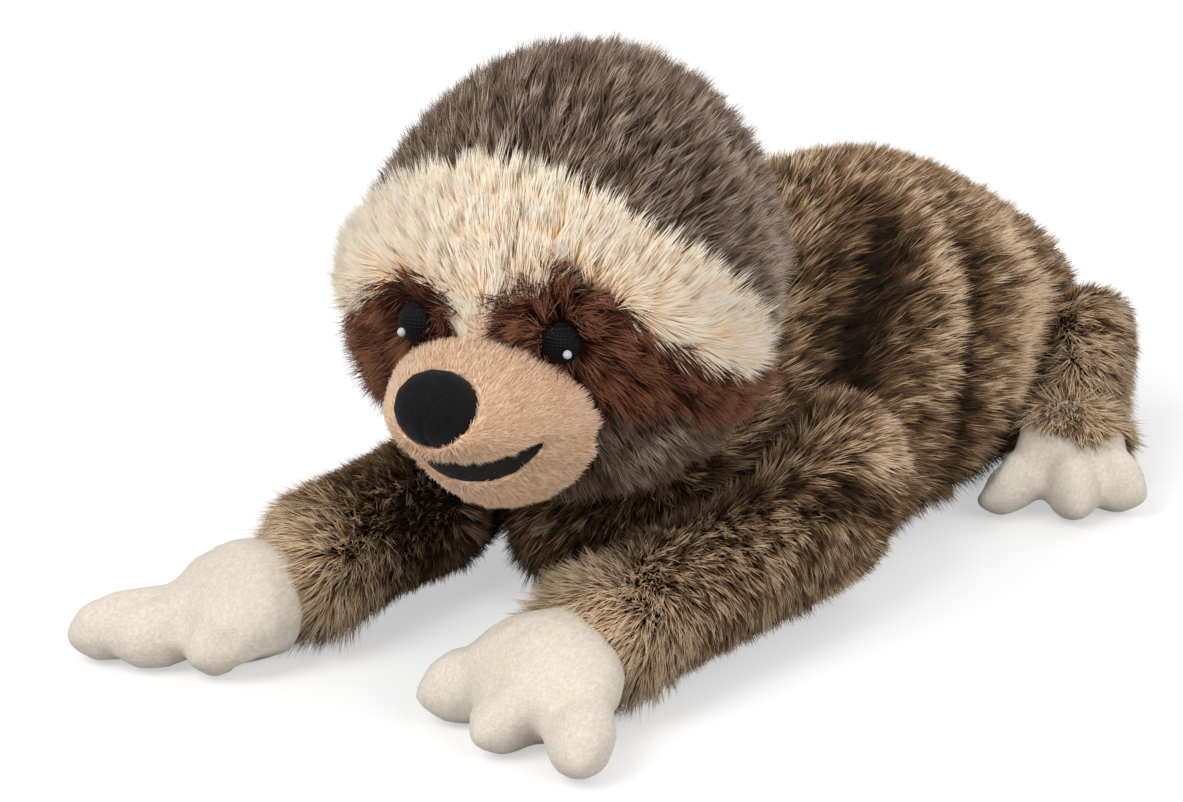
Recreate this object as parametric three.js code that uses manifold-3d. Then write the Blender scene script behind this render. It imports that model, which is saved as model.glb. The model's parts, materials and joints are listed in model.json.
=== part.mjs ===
// A stuffed toy sloth that lies on its belly with its arms stretched forward.
// Millimetres, +Z up. It faces -Y, so its own left side is at +X, and the floor is z = 0.
// Every fur or plush skin is a hollow shell with an opening where the next piece is sewn on,
// and the stuffing inside each skin is a solid of its own. A limb's stuffing has a round root
// that turns in a round hollow of the piece that carries it, as the seam there lets it do.
import * as THREE from 'three';
import { mergeVertices } from 'three/addons/utils/BufferGeometryUtils.js';
import Module from 'manifold-3d';

const wasm = await Module();
wasm.setup();

// Materials of the toy, one colour for each cloth.
const cloth = {
  fur: { color: 0x5a4a3c, roughness: 0.95, metalness: 0 },
  cream: { color: 0xf0dcc0, roughness: 0.95, metalness: 0 },
  chocolate: { color: 0x432618, roughness: 0.95, metalness: 0 },
  tan: { color: 0xd2aa82, roughness: 0.9, metalness: 0 },
  paw: { color: 0xeae0d0, roughness: 0.9, metalness: 0 },
  black: { color: 0x101012, roughness: 0.8, metalness: 0 },
  white: { color: 0xf4f4f4, roughness: 0.6, metalness: 0 },
  fibre: { color: 0xf2f2ee, roughness: 1, metalness: 0 },
};

// Clearances and walls.
const seatGap = 0.3; // between pieces that are sewn or laid together
const socketGap = 0.9; // between a round root and the hollow that it turns in
const headRoomGap = 2.6; // round a head of fewer faces, so that it holds the full head
const reliefGap = 0.5; // between a moving skin and the skin that it passes
const furWall = 3.5; // fur fabric: its backing and the pressed pile
const plushWall = 2; // short-pile fabric
const floorDip = 0.5; // how much of a form's underside is pressed flat by its weight
const overrun = 80; // how far a cutting shape runs past what it cuts
const floorReach = 500; // sides of the slab that cuts the undersides flat

// How many faces a form has round it and along it, and how square its underside is.
const torsoFaces = { around: 24, along: 14, base: 4 };
const torsoInnerFaces = { around: 16, along: 10, base: 4 };
const headFaces = { around: 24, along: 14 };
const headInnerFaces = { around: 16, along: 10 };
const muzzleFaces = { around: 18, along: 10 };
const muzzleInnerFaces = { around: 14, along: 8 };
const noseFaces = { around: 14, along: 9 };
const browFaces = { around: 8, along: 20 };
const patchFaces = { around: 8, along: 10 };
const eyeFaces = { around: 14, along: 8 };
const glintFaces = { around: 10, along: 6 };
const armFaces = { around: 16, along: 10 };
const armInnerFaces = { around: 12, along: 8 };
const legFaces = { around: 16, along: 9 };
const legInnerFaces = { around: 12, along: 7 };
const palmFaces = { around: 14, along: 7 };
const digitFaces = { around: 10, along: 6 };
const rootFaces = { around: 14, along: 9 };
const neckFaces = { around: 16, along: 10 };
const jointFaces = { around: 12, along: 8 };

// How many steps a swing, a nod or a flex is followed in where a piece makes room for it.
const swingSteps = 3;
const nodSteps = 2;
const flexSteps = 1;
const turnSteps = 1;

// Torso. Its stations run from the chest to the rump: a share of the length, then shares of the
// base for the height of the middle line, of the half width and of the back.
// Its underside is squared, because the filling sinks to the floor.
const torso = {
  length: 244,
  chest: 82, // how far the chest lies ahead of the shoulders' and hips' zero line
  halfWidth: 53,
  baseHeight: 34, // height of its widest line
  backHeight: 68, // from there to the top of the back
};
const torsoShares = [
  { along: 0, height: 0.65, side: 0, up: 0 },
  { along: 0.08, height: 0.74, side: 0.64, up: 0.24 },
  { along: 0.213, height: 0.91, side: 0.87, up: 0.53 },
  { along: 0.361, height: 1, side: 0.98, up: 0.88 },
  { along: 0.516, height: 1, side: 1, up: 1 },
  { along: 0.672, height: 1, side: 0.9, up: 0.91 },
  { along: 0.803, height: 1, side: 0.81, up: 0.65 },
  { along: 0.918, height: 1, side: 0.64, up: 0.41, lifted: 0.1 },
  { along: 1, height: 1, side: 0, up: 0 },
];

// Where the limbs and the neck are sewn to the torso: shares of its half width, of its length
// and of the height of its base or of its whole height.
const shoulderShares = { aside: 0.774, along: 0.291, height: 1.118 };
const hipShares = { aside: 0.642, along: 0.811, height: 0.941 };
const neckShares = { along: 0.213, height: 0.647 };
const shoulderRadius = 19;
const hipRadius = 16;
const neckRadius = 27;

// Head: nearly a ball, wider at the cheeks, and turned a little to its left. Its middle lies
// ahead of the neck and over it by shares of its radius.
const head = { radius: 60, turn: 15.5 };
const headShares = { ahead: 0.68, over: 0.545, cheek: 0.11, crownBack: 0.067 };

// Muzzle, in the head's own frame: shares of its length from its root, of its drop under the
// head's middle, of its half width and of its half height. Its tip is sewn a little askew.
const muzzle = { root: 34, length: 55, drop: 24, halfWidth: 26, halfHeight: 25, askew: -2.8 };
// The jaw narrows downward from so far under the head's middle. Over its height it loses this
// share of its width at the lips, and none of it at the muzzle's root.
const jaw = { drop: 19, height: 20, taper: 0.62 };
const muzzleShares = [
  { along: 0, drop: 1, side: 0, up: 0, down: 0 },
  { along: 0.145, drop: 0.96, side: 1.1, up: 1, down: 1 },
  { along: 0.4, drop: 0.875, side: 1.05, up: 0.9, down: 0.92 },
  { along: 0.618, drop: 0.77, side: 0.857, up: 0.74, down: 0.7 },
  { along: 0.8, drop: 0.69, side: 0.66, up: 0.6, down: 0.42 },
  { along: 0.927, drop: 0.6, side: 0.43, up: 0.44, down: 0.24 },
  { along: 1, drop: 0.55, side: 0, up: 0, down: 0 },
];
const nose = { halfWidth: 10.9, halfDepth: 9.5, halfHeight: 9.7, inset: 7 };
const noseDropShare = 0.44; // of the muzzle's drop
const smile = {
  cornerDrop: 18.4, // under the head's middle
  upperDrop: 23, // upper lip at the middle
  lowerDrop: 33, // lower lip at the middle
  sunk: 0.8, // how far the felt lies below the lips
};
const smileShares = { corner: 0.835, reach: 1.3, felt: 0.78, rise: 0.3 }; // of the half width
const smileFullness = 3; // the power of the lips' curve: 2 is a plain arc, more is fuller
const smileSteps = 26;

// Lines on the head's ball: azimuth from straight ahead and elevation in degrees, and the
// share of the half width there.
const brow = { halfWidth: 19.5, sunk: 2.5, pile: 5.5 };
const browLine = [
  { az: 79, el: -14, share: 0 },
  { az: 67, el: -7, share: 0.62 },
  { az: 49, el: 7, share: 0.72 },
  { az: 29, el: 20.5, share: 0.72 },
  { az: 0, el: 25, share: 1 },
  { az: -29, el: 20.5, share: 0.72 },
  { az: -49, el: 7, share: 0.72 },
  { az: -67, el: -7, share: 0.62 },
  { az: -79, el: -14, share: 0 },
];
const patch = { halfWidth: 11, sunk: 1.5, pile: 4 };
const patchLine = [
  { az: 3, el: 6, share: 0 },
  { az: 12, el: 4, share: 0.77 },
  { az: 22, el: 1, share: 1 },
  { az: 38, el: -9, share: 1 },
  { az: 57, el: -20, share: 0.82 },
  { az: 76, el: -27, share: 0.5 },
  { az: 87, el: -31, share: 0 },
];
const eye = { az: 19, el: 0.5, radius: 6.2, sunk: 2.5 };
const glint = { az: 20.5, el: -1, radius: 1.2, sunk: 0.5 };

// Limbs. Headings are degrees outward from straight ahead. Stations are shares of the length
// from the root to the joint, of the bow aside, of the root's height and of the half width.
const armShares = [
  { along: -0.25, aside: -1.5, height: 1.105, side: 0, up: 0 },
  { along: -0.02, aside: 0.65, height: 0.98, side: 1.02, up: 1.15 },
  { along: 0.29, aside: 1, height: 0.745, side: 1, up: 1.01 },
  { along: 0.61, aside: 0.82, height: 0.612, side: 0.896, up: 0.93 },
  { along: 0.85, aside: 0.57, height: 0.533, side: 0.875, up: 0.885 },
  { along: 1.03, aside: 0, height: 0.474, side: 0.875, up: 0.78 },
  { along: 1.13, aside: -0.2, height: 0.447, side: 0, up: 0 },
];
const palmShares = [
  { along: -0.2, aside: 0, height: 1.03, side: 0, up: 0 },
  { along: 0.1, aside: 0, height: 0.97, side: 0.89, up: 0.72 },
  { along: 0.46, aside: 0, height: 0.86, side: 1, up: 0.67 },
  { along: 0.78, aside: 0, height: 0.71, side: 0.94, up: 0.52, lifted: 0.04 },
  { along: 1, aside: 0, height: 0.57, side: 0, up: 0 },
];
const legShares = [
  { along: -0.764, aside: 1, height: 1.125, side: 0, up: 0 },
  { along: -0.271, aside: 0.65, height: 1.094, side: 1, up: 0.889 },
  { along: 0.294, aside: 0.11, height: 0.875, side: 0.963, up: 0.852 },
  { along: 0.855, aside: -0.18, height: 0.656, side: 0.722, up: 0.611 },
  { along: 1.207, aside: -0.39, height: 0.563, side: 0, up: 0 },
];
const solePalmShares = [
  { along: -0.7, aside: 0, height: 1.03, side: 0, up: 0 },
  { along: -0.085, aside: 0, height: 0.97, side: 0.95, up: 0.816 },
  { along: 0.52, aside: 0, height: 0.771, side: 1, up: 0.605 },
  { along: 1, aside: 0, height: 0.57, side: 0, up: 0 },
];
const arm = { halfWidth: 24, faces: armFaces, innerFaces: armInnerFaces, shares: armShares };
const leg = { halfWidth: 27, faces: legFaces, innerFaces: legInnerFaces, shares: legShares };
const wrist = { height: 17.5, radius: 13 };
const ankle = { height: 17.5, radius: 11 };
const palm = { length: 31, halfWidth: 22, shares: palmShares };
const sole = { length: 20, halfWidth: 19, shares: solePalmShares };
const fingerRadius = 9.4;
const toeRadius = 9.2;
const digitRootShare = 0.76; // of the height of the wrist or ankle

// How each limb is posed. A digit starts at a share of the palm's half width and length, and
// fans out from the palm's heading.
const poses = {
  armLeft: {
    heading: -1.3, length: 110, bow: 5.5, full: 1,
    pawHeading: 1,
    digits: [
      { aside: -0.43, along: 0.29, fan: -48, length: 19.4 },
      { aside: -0.02, along: 0.48, fan: -5, length: 15.6 },
      { aside: 0.48, along: 0.35, fan: 35, length: 23.5 },
    ],
  },
  armRight: {
    heading: 2.6, length: 122, bow: 1, full: 1.1,
    pawHeading: 29.2,
    digits: [
      { aside: -0.3, along: 0.29, fan: -15, length: 16.5 },
      { aside: -0.04, along: 0.61, fan: 8, length: 22.6 },
      { aside: 0.28, along: 0.67, fan: 11.6, length: 29.1 },
    ],
  },
  leg: {
    heading: 38.5, length: 41, bow: 5.7, full: 1,
    pawHeading: 38.5,
    digits: [
      { aside: -0.24, along: 0.33, fan: -50, length: 22 },
      { aside: -0.07, along: 0.52, fan: 5, length: 15.2 },
      { aside: 0.14, along: 0.36, fan: 48, length: 17 },
    ],
  },
};

// Ranges of the joints in degrees from the photographed pose.
const ranges = {
  headTurn: [-16, 8], // to its left
  headNod: [-2, 12], // chin up
  armSwing: [-2, 30], // outward
  legSwing: [-4, 20], // outward
  wristFlex: [-5, 12], // fingers up
  ankleFlex: [-5, 12], // toes up
};

const mergeReach = 1e-4; // points nearer than this are one
const tiny = 1e-6; // keeps a division from zero

function bareOf(geometry) {
  const bare = geometry.clone();
  bare.deleteAttribute('normal');
  bare.deleteAttribute('uv');
  return mergeVertices(bare, mergeReach);
}

function solidOf(geometry) {
  const bare = bareOf(geometry);
  return new wasm.Manifold(new wasm.Mesh({
    numProp: 3,
    vertProperties: Float32Array.from(bare.attributes.position.array),
    triVerts: Uint32Array.from(bare.index.array),
  }));
}

function geometryOf(solid) {
  const mesh = solid.getMesh();
  const geometry = new THREE.BufferGeometry();
  geometry.setAttribute('position', new THREE.BufferAttribute(mesh.vertProperties, 3));
  geometry.setIndex(new THREE.BufferAttribute(mesh.triVerts, 1));
  return geometry;
}

// Catmull-Rom through equally spaced values.
function through(values, t) {
  const last = values.length - 1;
  const k = Math.min(Math.floor(t * last), last - 1);
  const u = t * last - k;
  const [a, b, c, d] = [-1, 0, 1, 2].map((i) => values[Math.max(0, Math.min(last, k + i))]);
  return b + 0.5 * u * (c - a + u * (2 * a - 5 * b + 4 * c - d + u * (3 * (b - c) + d - a)));
}

// A closed form that swells and tapers along its stations. Areas are interpolated rather than
// half sizes, so an end station of no size gives a round end. With a base over 2 the lower half
// is squared. Its upper side points away from a centre, or up where no centre is given.
function swell(stations, { around, along, base = 2 }, centre = null) {
  const points = stations.map((station) => new THREE.Vector3(...station.at));
  const path = new THREE.CatmullRomCurve3(points, false, 'catmullrom');
  const half = (key, t) => Math.sqrt(Math.max(0, through(stations.map((s) => s[key] ** 2), t)));
  const geometry = new THREE.SphereGeometry(1, around, along);
  const position = geometry.attributes.position;
  const point = new THREE.Vector3();
  for (let i = 0; i < position.count; i++) {
    point.fromBufferAttribute(position, i);
    const t = (1 - point.y) / 2;
    const ring = Math.max(Math.hypot(point.x, point.z), tiny);
    let across = point.x / ring;
    let lift = point.z / ring;
    if (lift < 0) {
      const fuller = (Math.abs(across) ** base + Math.abs(lift) ** base) ** (-1 / base);
      across *= fuller;
      lift *= fuller;
    }
    const forward = path.getTangent(t);
    const place = path.getPoint(t);
    const upward = centre ? place.clone().sub(centre) : new THREE.Vector3(0, 0, 1);
    const side = upward.cross(forward).normalize();
    const up = forward.clone().cross(side);
    place.addScaledVector(side, across * half('side', t));
    place.addScaledVector(up, lift * half(lift > 0 ? 'up' : 'down', t));
    position.setXYZ(i, ...place);
  }
  return geometry;
}

function ball({ at, radius }, faces = rootFaces) {
  return new THREE.SphereGeometry(radius, faces.around, faces.along).translate(...at);
}

// The same form with its surface moved outward, or inward for a negative distance.
function offset(geometry, distance) {
  const bare = bareOf(geometry);
  bare.computeVertexNormals();
  const { position, normal } = bare.attributes;
  for (let i = 0; i < position.count; i++) {
    position.setXYZ(
      i,
      position.getX(i) + distance * normal.getX(i),
      position.getY(i) + distance * normal.getY(i),
      position.getZ(i) + distance * normal.getZ(i),
    );
  }
  return bare;
}

const less = (solid, cutters) => cutters.reduce((rest, cutter) => rest.subtract(cutter), solid);
const largest = (solid) => solid.decompose().sort((a, b) => b.volume() - a.volume())[0];
const anglesOf = ([least, most], steps) =>
  [least, ...Array.from({ length: steps + 1 }, (_, i) => most * i / steps)];

// A geometry turned about a point; degrees about the axis.
function turned(geometry, at, axis, degrees) {
  const spin = new THREE.Matrix4().makeRotationAxis(axis, THREE.MathUtils.degToRad(degrees));
  return geometry.clone().translate(-at[0], -at[1], -at[2]).applyMatrix4(spin).translate(...at);
}

// All the room that a still piece takes as a moving piece turns through its range, seen from
// the moving piece: the still piece turned the other way, at rest, at both ends and between.
function passed(geometry, at, axis, range, steps) {
  return anglesOf(range, steps).map((angle) => solidOf(turned(geometry, at, axis, -angle)));
}

// The half space beyond a point, as a box.
function beyond(at, direction) {
  const facing = new THREE.Quaternion().setFromUnitVectors(new THREE.Vector3(0, 0, 1), direction);
  const box = new THREE.BoxGeometry(overrun, overrun, overrun).translate(0, 0, overrun / 2);
  return solidOf(box.applyQuaternion(facing).translate(...at));
}

const socketOf = ({ at, radius }, faces) => solidOf(ball({ at, radius: radius + socketGap }, faces));
const seatOf = ({ at, radius }) => solidOf(ball({ at, radius: radius + seatGap }));
const upAxis = new THREE.Vector3(0, 0, 1);
const downAxis = new THREE.Vector3(0, 0, -1);
const floorSlab = new THREE.BoxGeometry(floorReach, floorReach, overrun).translate(0, 0, -overrun / 2);
const floor = solidOf(floorSlab);
const sides = { left: 1, right: -1 };

const group = new THREE.Group();
function add(name, solid, material) {
  const mesh = new THREE.Mesh(geometryOf(solid), new THREE.MeshStandardMaterial(material));
  mesh.name = name;
  group.add(mesh);
}

// Places on the torso, and places a distance along and aside of a heading. Side is 1 on the
// toy's left and -1 on its right, and aside is outward.
const chestAt = -torso.chest;
const onTorso = ({ aside = 0, along, height }, side) =>
  [side * aside * torso.halfWidth, chestAt + along * torso.length, height * torso.baseHeight];
const torsoHeight = torso.baseHeight + torso.backHeight;
const neck = {
  at: [0, chestAt + neckShares.along * torso.length, neckShares.height * torsoHeight],
  radius: neckRadius,
};

function placed([x, y], side, heading, along, aside, height) {
  const angle = THREE.MathUtils.degToRad(heading);
  return [
    x + side * (along * Math.sin(angle) + aside * Math.cos(angle)),
    y - along * Math.cos(angle) + aside * Math.sin(angle),
    height,
  ];
}

// Half sizes at a station. It reaches a little under the floor, where it is cut flat, unless
// it is a round end or is lifted off the floor.
function halves({ side, up, lifted = 0 }, height, width, rise) {
  const down = side ? height * (1 - lifted) + (lifted ? 0 : floorDip) : 0;
  return { side: side * width, up: up * rise, down };
}

const torsoStations = torsoShares.map((share) => {
  const height = share.height * torso.baseHeight;
  const at = [0, chestAt + share.along * torso.length, height];
  return { at, ...halves(share, height, torso.halfWidth, torso.backHeight) };
});

// The head in its own frame. A point of the plain ball goes to its place on the cheeks or crown.
const headCentre = [
  0,
  neck.at[1] - headShares.ahead * head.radius,
  neck.at[2] + headShares.over * head.radius,
];
const headTurn = THREE.MathUtils.degToRad(head.turn);
function onHead(x, y, z) {
  return [x * (1 - headShares.cheek * z / head.radius), y + headShares.crownBack * z, z];
}

function headForm({ around, along }) {
  const geometry = new THREE.SphereGeometry(head.radius, around, along).rotateX(Math.PI / 2);
  const position = geometry.attributes.position;
  for (let i = 0; i < position.count; i++) {
    position.setXYZ(i, ...onHead(position.getX(i), position.getY(i), position.getZ(i)));
  }
  return geometry;
}

function toward(az, el, radius) {
  const a = THREE.MathUtils.degToRad(az);
  const e = THREE.MathUtils.degToRad(el);
  const level = radius * Math.cos(e);
  return onHead(level * Math.sin(a), -level * Math.cos(a), radius * Math.sin(e));
}

const inHead = (geometry) => geometry.clone().rotateZ(headTurn).translate(...headCentre);

// A pad of pile that follows a line over the head.
function padOnHead(line, { halfWidth, sunk, pile }, faces, side = 1) {
  const stations = line.map(({ az, el, share }) => {
    const thick = share ? pile : 0;
    const at = toward(side * az, el, head.radius - sunk);
    return { at, side: share * halfWidth, up: thick, down: thick };
  });
  return inHead(swell(stations, faces, new THREE.Vector3()));
}

const muzzleStations = muzzleShares.map(({ along, drop, side, up, down }) => ({
  at: [along ** 2 * muzzle.askew, -muzzle.root - along * muzzle.length, -drop * muzzle.drop],
  side: side * muzzle.halfWidth,
  up: up * muzzle.halfHeight,
  down: down * muzzle.halfHeight,
}));

// Torso and head. The head's skin clears the torso wherever it turns or nods.
const torsoForm = swell(torsoStations, torsoFaces);
const torsoInner = swell(torsoStations, torsoInnerFaces);
const torsoCutter = offset(torsoForm, reliefGap);
const headOuter = inHead(headForm(headFaces));
const headInner = inHead(headForm(headInnerFaces));
const headCutter = solidOf(offset(headOuter, seatGap));
const headAcross = new THREE.Vector3(-1, 0, 0).applyAxisAngle(upAxis, headTurn);
const neckSocket = solidOf(ball({ ...neck, radius: neck.radius + socketGap }, neckFaces));
const shoulders = {};
const hips = {};
for (const [name, side] of Object.entries(sides)) {
  shoulders[name] = { at: onTorso(shoulderShares, side), radius: shoulderRadius };
  hips[name] = { at: onTorso(hipShares, side), radius: hipRadius };
}
const torsoSockets = [
  neckSocket,
  ...Object.values({ ...shoulders }).map((root) => socketOf(root)),
  ...Object.values({ ...hips }).map((root) => socketOf(root)),
];

// The torso seen from the head, for every turn and nod. The head turns about the upright axis
// first and nods second, so the torso is turned back in that order.
const headRelief = anglesOf(ranges.headTurn, turnSteps).flatMap((turn) => {
  const aside = turned(torsoCutter, neck.at, upAxis, -turn);
  return anglesOf(ranges.headNod, nodSteps)
    .map((nod) => solidOf(turned(aside, neck.at, headAcross, -nod)));
});

// Face pieces. Each one is laid on the head's skin and clear of its neighbours.
// The muzzle's form with the sides of its jaw drawn in.
function narrowJaw(geometry) {
  const places = geometry.attributes.position;
  for (let i = 0; i < places.count; i += 1) {
    const under = Math.min(Math.max((-places.getZ(i) - jaw.drop) / jaw.height, 0), 1);
    const ahead = Math.min(Math.max((-places.getY(i) - muzzle.root) / muzzle.length, 0), 1);
    places.setX(i, places.getX(i) * (1 - jaw.taper * under * ahead));
  }
  return geometry;
}
const muzzleForm = inHead(narrowJaw(swell(muzzleStations, muzzleFaces)));
const muzzleInner = inHead(narrowJaw(swell(muzzleStations, muzzleInnerFaces)));
const browForm = padOnHead(browLine, brow, browFaces);
const noseForm = inHead(new THREE.SphereGeometry(1, noseFaces.around, noseFaces.along)
  .scale(nose.halfWidth, nose.halfDepth, nose.halfHeight)
  .translate(muzzle.askew, nose.inset - muzzle.root - muzzle.length, -noseDropShare * muzzle.drop));
const muzzleRoom = solidOf(offset(muzzleForm, seatGap));
const noseRoom = solidOf(offset(noseForm, seatGap));
const browRoom = solidOf(offset(browForm, seatGap));

// The line of the smile at a distance from the middle: it curves up to the corners and runs on
// with a slight rise, where the lips meet.
const smileCorner = smileShares.corner * muzzle.halfWidth;
function lip(middleDrop, x) {
  const share = Math.min(Math.abs(x) / smileCorner, 1);
  const pastCorner = Math.max(Math.abs(x) - smileCorner, 0);
  const curve = (middleDrop - smile.cornerDrop) * share ** smileFullness;
  return curve - middleDrop + smileShares.rise * pastCorner;
}

// A prism along the head's forward direction between two lines across the face.
function acrossFace(upper, lower, reachShare) {
  const reach = reachShare * muzzle.halfWidth;
  const xs = Array.from({ length: smileSteps + 1 }, (_, i) => reach * (2 * i / smileSteps - 1));
  const outline = [...xs.map((x) => [x, lower(x)]), ...xs.reverse().map((x) => [x, upper(x)])];
  const shape = new THREE.Shape(outline.map(([x, z]) => new THREE.Vector2(x, z)));
  const prism = new THREE.ExtrudeGeometry(shape, { depth: 2 * overrun, bevelEnabled: false });
  return solidOf(inHead(prism.rotateX(Math.PI / 2)));
}

const halfGap = seatGap / 2;
const belowUpperLip = acrossFace(
  (x) => lip(smile.upperDrop, x) + halfGap,
  () => -overrun,
  smileShares.reach,
);
const aboveLowerLip = acrossFace(
  () => overrun,
  (x) => lip(smile.lowerDrop, x) - halfGap,
  smileShares.reach,
);
const betweenLips = acrossFace(
  (x) => lip(smile.upperDrop, x) - halfGap,
  (x) => lip(smile.lowerDrop, x) + halfGap,
  smileShares.felt,
);
const muzzleHollow = solidOf(offset(muzzleInner, -plushWall));
const lipShell = less(solidOf(muzzleForm), [muzzleHollow, headCutter]);
const feltShell = less(solidOf(offset(muzzleForm, -smile.sunk)), [muzzleHollow, headCutter]);

const skinHollow = (form) => solidOf(offset(form, -furWall));
const fillingOf = (form) => solidOf(offset(form, -furWall - seatGap));
add('torso_skin', less(solidOf(torsoForm), [floor, skinHollow(torsoInner), ...torsoSockets]), cloth.fur);
add('torso_filling', less(fillingOf(torsoInner), torsoSockets), cloth.fibre);
add('neck_filling', solidOf(ball(neck, neckFaces)), cloth.fibre);
const headRoom = [neckSocket, ...headRelief];
add('head_skin', largest(less(solidOf(headOuter), [skinHollow(headInner), ...headRoom])), cloth.fur);
add('head_filling', largest(less(fillingOf(headInner), headRoom)), cloth.fibre);
add('brow_band', largest(less(solidOf(browForm), [headCutter, muzzleRoom])), cloth.cream);
add('muzzle_skin', largest(less(lipShell, [belowUpperLip, noseRoom])), cloth.tan);
add('chin_skin', largest(less(lipShell, [aboveLowerLip])), cloth.tan);
add('mouth', largest(feltShell.intersect(betweenLips)), cloth.black);
const muzzleCore = solidOf(offset(muzzleInner, -plushWall - seatGap));
add('muzzle_filling', largest(less(muzzleCore, [headCutter, noseRoom])), cloth.fibre);
add('nose', solidOf(noseForm), cloth.black);

const eyeSeat = head.radius - eye.sunk;
const glintSeat = eyeSeat + eye.radius - glint.sunk;
for (const [name, side] of Object.entries(sides)) {
  const eyeBall = { at: toward(side * eye.az, eye.el, eyeSeat), radius: eye.radius };
  const glintBall = { at: toward(side * glint.az, glint.el, glintSeat), radius: glint.radius };
  const eyeForm = inHead(ball(eyeBall, eyeFaces));
  const glintForm = inHead(ball(glintBall, glintFaces));
  const glintRoom = solidOf(offset(glintForm, seatGap));
  const patchForm = solidOf(padOnHead(patchLine, patch, patchFaces, side));
  const patchRoom = [headCutter, browRoom, muzzleRoom, solidOf(offset(eyeForm, seatGap))];
  add(`eye_patch_${name}`, largest(less(patchForm, patchRoom)), cloth.chocolate);
  add(`eye_${name}`, less(solidOf(eyeForm), [headCutter, glintRoom]), cloth.black);
  add(`eye_glint_${name}`, solidOf(glintForm), cloth.white);
}

// A finger or a toe: a round-ended tube from inside the palm to its tip, which rests on the
// floor.
function digitForm(root, side, heading, length, radius) {
  const tip = placed(root, side, heading, length, 0, radius - floorDip);
  const forward = new THREE.Vector3(...tip).sub(new THREE.Vector3(...root)).normalize();
  const end = new THREE.Vector3(...tip).addScaledVector(forward, radius).toArray();
  const middle = new THREE.Vector3(...root).lerp(new THREE.Vector3(...tip), 1 / 2).toArray();
  const full = { side: radius, up: radius, down: radius };
  const none = { side: 0, up: 0, down: 0 };
  const stations = [
    { at: root, ...none },
    { at: middle, ...full },
    { at: tip, ...full },
    { at: end, ...none },
  ];
  return swell(stations, digitFaces);
}

function limbStations({ shares, halfWidth }, root, pose, side) {
  return shares.map((share) => {
    const height = share.height * root.at[2];
    const along = share.along * pose.length;
    const at = placed(root.at, side, pose.heading, along, share.aside * pose.bow, height);
    return { at, ...halves(share, height, halfWidth, pose.full * halfWidth) };
  });
}

// The head seen from an arm, turned to both sides with the chin at its lowest.
const headCoarse = offset(headInner, headRoomGap);
const headPassed = anglesOf(ranges.headTurn, turnSteps).map((turn) => {
  const nodded = turned(headCoarse, neck.at, headAcross, ranges.headNod[0]);
  return solidOf(turned(nodded, neck.at, upAxis, turn));
});

// One limb with its hand or foot. The limb swings outward about an upright axis at its root,
// and the hand or foot flexes about the line across its own root.
function addLimb(names, side, limb, root, pose, joint, paw, digitRadius, swing, flex, neighbours) {
  const outward = side > 0 ? upAxis : downAxis;
  const stations = limbStations(limb, root, pose, side);
  const form = swell(stations, limb.faces);
  const innerForm = swell(stations, limb.innerFaces);
  const torsoPassed = passed(torsoCutter, root.at, outward, swing, swingSteps);
  const jointAt = placed(root.at, side, pose.heading, pose.length, 0, joint.height);
  const jointBall = { at: jointAt, radius: joint.radius };
  const jointSocket = socketOf(jointBall, jointFaces);
  const ahead = new THREE.Vector3(...placed([0, 0], side, pose.pawHeading, 1, 0, 0));
  const cuff = beyond(jointAt, ahead);
  const room = [cuff, ...torsoPassed, ...neighbours];
  const limbSolid = less(solidOf(form), [floor, ...room]);
  const skinCutters = [skinHollow(innerForm), seatOf(root), jointSocket];
  add(names.skin, largest(less(limbSolid, skinCutters)), cloth.fur);
  const filling = less(fillingOf(innerForm), room).add(solidOf(ball(root)));
  add(names.filling, largest(less(filling, [jointSocket])), cloth.fibre);

  const across = upAxis.clone().cross(ahead).negate();
  const pastCuff = new THREE.Vector3(...jointAt).addScaledVector(ahead, reliefGap).toArray();
  const limbRoom = less(solidOf(offset(form, reliefGap)), [beyond(pastCuff, ahead)]);
  const cuffRoom = passed(geometryOf(limbRoom), jointAt, across, flex, flexSteps);
  const palmStations = paw.shares.map((share) => {
    const height = share.height * joint.height;
    const at = placed(jointAt, side, pose.pawHeading, share.along * paw.length, 0, height);
    return { at, ...halves(share, height, paw.halfWidth, paw.halfWidth) };
  });
  const digits = pose.digits.map(({ aside, along, fan, length }) => {
    const start = placed(
      jointAt, side, pose.pawHeading,
      along * paw.length, aside * paw.halfWidth, digitRootShare * joint.height,
    );
    return digitForm(start, side, pose.pawHeading + fan, length, digitRadius);
  });
  const hand = [swell(palmStations, palmFaces), ...digits]
    .map(solidOf)
    .reduce((whole, solid) => whole.add(solid));
  const rooted = less(hand, [floor, ...cuffRoom]).add(solidOf(ball(jointBall, jointFaces)));
  add(names.paw, largest(less(rooted, torsoPassed)), cloth.paw);
}

const armPoses = { left: poses.armLeft, right: poses.armRight };
for (const [name, side] of Object.entries(sides)) {
  addLimb(
    { skin: `arm_${name}_skin`, filling: `arm_${name}_filling`, paw: `hand_${name}` },
    side, arm, shoulders[name], armPoses[name], wrist, palm, fingerRadius,
    ranges.armSwing, ranges.wristFlex, headPassed,
  );
  addLimb(
    { skin: `leg_${name}_skin`, filling: `leg_${name}_filling`, paw: `foot_${name}` },
    side, leg, hips[name], poses.leg, ankle, sole, toeRadius,
    ranges.legSwing, ranges.ankleFlex, [],
  );
}

// The origin is on the floor, under the middle of the whole toy.
const box = new THREE.Box3().setFromObject(group);
const middle = box.getCenter(new THREE.Vector3()).setZ(0);
for (const mesh of group.children) {
  mesh.position.sub(middle);
}

export default group;
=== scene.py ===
# %% [markdown]
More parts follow.
